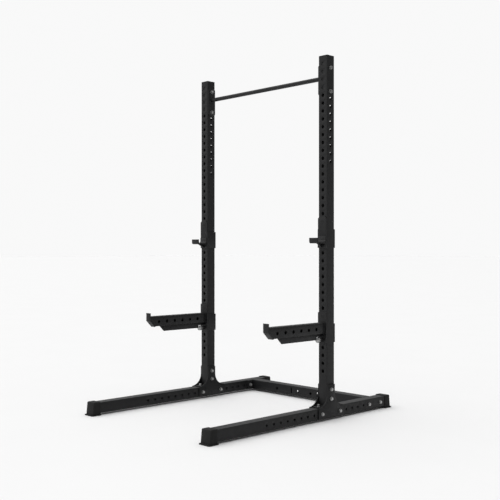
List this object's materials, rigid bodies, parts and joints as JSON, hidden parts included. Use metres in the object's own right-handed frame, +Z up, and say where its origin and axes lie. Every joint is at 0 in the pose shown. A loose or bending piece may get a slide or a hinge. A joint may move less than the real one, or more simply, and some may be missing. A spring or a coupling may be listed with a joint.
{
  "type": "half rack with pull-up bar",
  "caption": "Open two-post barbell rack: bolted square-tube uprights on long floor legs, pull-up bar, hanging J-cups, pinned spotter arms and rubber shoes.",
  "frame": {"origin": "on the floor, at the centre of the rack's footprint", "axes": "+X from the left upright to the right one, -Y towards the side where the J-cups and arms hang, +Z up"},
  "size_m": [1.2422, 1.666, 2.3123],
  "materials": {
    "black_powder_coat": "fine-textured satin powder coat",
    "zinc_plate": "bright zinc plate",
    "black_rubber": "matt moulded rubber",
    "black_cap_plastic": "lightly grained",
    "dark_liner_plastic": "matt wear-resistant plastic"
  },
  "bodies": {
    "frame": {"base_leg_left": "black_powder_coat", "base_leg_right": "black_powder_coat", "upright_left": "black_powder_coat", "upright_right": "black_powder_coat", "rear_crossmember": "black_powder_coat", "pull_up_bar": "black_powder_coat", "gusset_inner_left": "black_powder_coat", "gusset_inner_right": "black_powder_coat", "gusset_outer_left": "black_powder_coat", "gusset_outer_right": "black_powder_coat", "foot_shoe_front_left": "black_rubber", "foot_shoe_front_right": "black_rubber", "foot_shoe_rear_left": "black_rubber", "foot_shoe_rear_right": "black_rubber", "top_cap_left": "black_cap_plastic", "top_cap_right": "black_cap_plastic", "foot_screw_left": "zinc_plate", "foot_screw_right": "zinc_plate", "bar_upper_bolt_left": "zinc_plate", "bar_upper_bolt_right": "zinc_plate", "bar_upper_nut_left": "zinc_plate", "bar_upper_nut_right": "zinc_plate", "bar_lower_bolt_left": "zinc_plate", "bar_lower_bolt_right": "zinc_plate", "bar_lower_nut_left": "zinc_plate", "bar_lower_nut_right": "zinc_plate", "gusset_upper_bolt_left": "zinc_plate", "gusset_upper_bolt_right": "zinc_plate", "gusset_upper_nut_left": "zinc_plate", "gusset_upper_nut_right": "zinc_plate", "gusset_lower_bolt_left": "zinc_plate", "gusset_lower_bolt_right": "zinc_plate", "gusset_lower_nut_left": "zinc_plate", "gusset_lower_nut_right": "zinc_plate", "gusset_front_bolt_left": "zinc_plate", "gusset_front_bolt_right": "zinc_plate", "gusset_front_nut_left": "zinc_plate", "gusset_front_nut_right": "zinc_plate", "gusset_rear_bolt_left": "zinc_plate", "gusset_rear_bolt_right": "zinc_plate", "gusset_rear_nut_left": "zinc_plate", "gusset_rear_nut_right": "zinc_plate", "crossmember_front_bolt_left": "zinc_plate", "crossmember_front_bolt_right": "zinc_plate", "crossmember_front_nut_left": "zinc_plate", "crossmember_front_nut_right": "zinc_plate", "crossmember_rear_bolt_left": "zinc_plate", "crossmember_rear_bolt_right": "zinc_plate", "crossmember_rear_nut_left": "zinc_plate", "crossmember_rear_nut_right": "zinc_plate"},
    "j_cup_left_body": {"j_cup_left": "black_powder_coat", "j_cup_liner_left": "dark_liner_plastic"},
    "j_cup_right_body": {"j_cup_right": "black_powder_coat", "j_cup_liner_right": "dark_liner_plastic"},
    "spotter_arm_left_body": {"spotter_arm_left": "black_powder_coat", "arm_liner_left": "dark_liner_plastic"},
    "spotter_arm_right_body": {"spotter_arm_right": "black_powder_coat", "arm_liner_right": "dark_liner_plastic"},
    "lock_pin_left_body": {"arm_lock_pin_left": "zinc_plate"},
    "lock_pin_right_body": {"arm_lock_pin_right": "zinc_plate"}
  },
  "joints": [
    {"name": "j_cup_twist_left", "type": "hinge", "parent": "frame", "child": "j_cup_left_body", "pos_m": [-0.5715, 0.166, 1.259], "axis": [0, -1, 0], "range_deg": [0, 90]},
    {"name": "j_cup_twist_right", "type": "hinge", "parent": "frame", "child": "j_cup_right_body", "pos_m": [0.5715, 0.166, 1.259], "axis": [0, 1, 0], "range_deg": [0, 90]},
    {"name": "spotter_arm_twist_left", "type": "hinge", "parent": "frame", "child": "spotter_arm_left_body", "pos_m": [-0.5715, 0.166, 0.659], "axis": [0, -1, 0], "range_deg": [0, 90]},
    {"name": "spotter_arm_twist_right", "type": "hinge", "parent": "frame", "child": "spotter_arm_right_body", "pos_m": [0.5715, 0.166, 0.659], "axis": [0, 1, 0], "range_deg": [0, 90]},
    {"name": "lock_pin_slide_left", "type": "slide", "parent": "spotter_arm_left_body", "child": "lock_pin_left_body", "axis": [0, 1, 0], "range_m": [0, 0.012]},
    {"name": "lock_pin_slide_right", "type": "slide", "parent": "spotter_arm_right_body", "child": "lock_pin_right_body", "axis": [0, 1, 0], "range_m": [0, 0.012]}
  ]
}
